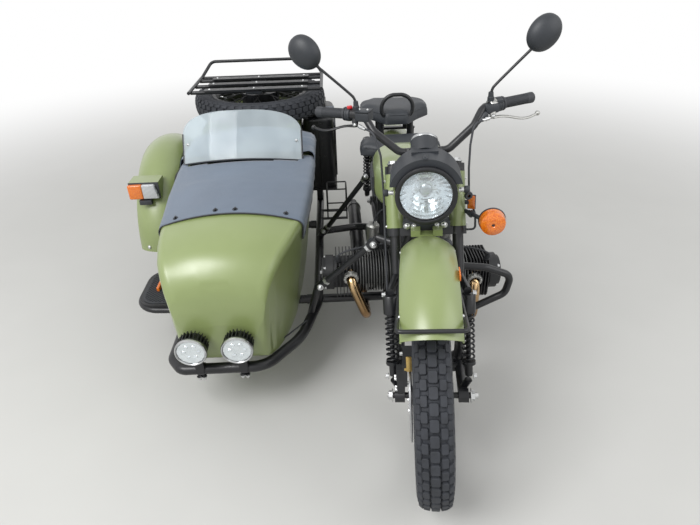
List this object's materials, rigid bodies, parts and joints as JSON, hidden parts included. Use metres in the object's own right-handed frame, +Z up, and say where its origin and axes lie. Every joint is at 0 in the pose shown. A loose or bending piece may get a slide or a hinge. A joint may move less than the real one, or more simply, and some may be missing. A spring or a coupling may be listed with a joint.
{
  "type": "sidecar motorcycle",
  "caption": "Flat-twin motorcycle with a leading-link fork and a sidecar on its right that carries a spare wheel, a rack and a fuel can.",
  "frame": {"origin": "centre of the whole vehicle's floor plan, on the ground under its tyres", "axes": "+X to the rider's left, +Y to the rear, so the front faces -Y, +Z up; the sidecar is on the -X side"},
  "size_m": [1.6461, 2.5423, 1.4197],
  "materials": {
    "green_paint": "satin",
    "black_paint": "satin",
    "engine_black": "matte",
    "bare_alloy": "satin",
    "bright_steel": "polished",
    "tinted_steel": "satin",
    "wheel_black": "satin",
    "tyre_rubber": "matte",
    "rubber": "matte",
    "vinyl": "matte",
    "canvas": "matte",
    "black_plastic": "matte",
    "clear_glass": "polished",
    "lamp_glass": "polished",
    "amber_lens": "gloss"
  },
  "bodies": {
    "machine": {"apron": "canvas", "battery_box": "black_paint", "can_carrier": "black_paint", "carburettors": "bare_alloy", "crash_bar": "black_paint", "cylinders": "engine_black", "engine_case": "engine_black", "exhaust_headers": "tinted_steel", "fuel_tank": "green_paint", "grab_loop": "black_paint", "jerry_can": "black_paint", "knee_pads": "rubber", "main_frame": "black_paint", "marker_lamps": "green_paint", "plate_bracket": "black_paint", "rear_fender": "green_paint", "rear_shocks": "black_paint", "saddles": "vinyl", "sidecar_bumper": "black_paint", "sidecar_fender": "green_paint", "sidecar_frame": "black_paint", "sidecar_hull": "green_paint", "sidecar_seat": "vinyl", "sidecar_step": "black_paint", "sidecar_struts": "black_paint", "silencers": "black_paint", "spot_lamps": "black_paint", "swingarms": "black_paint", "tonneau": "canvas", "wheel_carrier": "black_paint", "windshield": "clear_glass"},
    "fork": {"fork": "black_paint", "lamp_ears": "green_paint", "leading_arms": "black_paint", "front_shocks": "black_paint", "front_fender": "green_paint", "headlamp": "black_paint", "headlamp_lens": "lamp_glass", "instrument_cowl": "black_plastic", "handlebar": "black_paint", "grips": "rubber", "hand_controls": "black_plastic", "mirrors": "black_plastic", "front_signal": "amber_lens", "front_caliper": "bare_alloy", "brake_hose": "rubber", "clutch_cable": "rubber"},
    "front_wheel": {"front_tyre": "tyre_rubber", "front_wheel": "wheel_black", "front_brake_disc": "bright_steel"},
    "rear_wheel": {"rear_tyre": "tyre_rubber", "rear_wheel": "wheel_black"},
    "sidecar_wheel": {"sidecar_tyre": "tyre_rubber", "sidecar_wheel": "wheel_black"},
    "trunk_lid": {"trunk_lid": "green_paint", "spare_tyre": "tyre_rubber", "spare_wheel": "wheel_black", "luggage_rack": "black_paint"},
    "centre_stand": {"centre_stand": "black_paint"}
  },
  "joints": [
    {"name": "steering", "type": "hinge", "parent": "machine", "child": "fork", "pos_m": [0.415, -1.002, 0], "axis": [0, 0.454, 0.891], "range_deg": [-26.7, 43.3]},
    {"name": "front_wheel_spin", "type": "hinge", "parent": "fork", "child": "front_wheel", "pos_m": [0.40261, -0.9212, 0.34559], "axis": [0.9895, -0.1286, 0.0655], "continuous": true},
    {"name": "rear_wheel_spin", "type": "hinge", "parent": "machine", "child": "rear_wheel", "pos_m": [0.415, 0.578, 0.346], "axis": [1, 0, 0], "continuous": true},
    {"name": "sidecar_wheel_spin", "type": "hinge", "parent": "machine", "child": "sidecar_wheel", "pos_m": [-0.725, 0.483, 0.346], "axis": [1, 0, 0], "continuous": true},
    {"name": "trunk_lid_hinge", "type": "hinge", "parent": "machine", "child": "trunk_lid", "pos_m": [-0.302, 0.43, 0.8253], "axis": [1, 0, 0], "range_deg": [0, 50]},
    {"name": "centre_stand_hinge", "type": "hinge", "parent": "machine", "child": "centre_stand", "pos_m": [0.415, 0.04, 0.196], "axis": [1, 0, 0], "range_deg": [-95, 0], "stiffness_Nm_per_rad": 2, "springref_deg": 68.75}
  ]
}
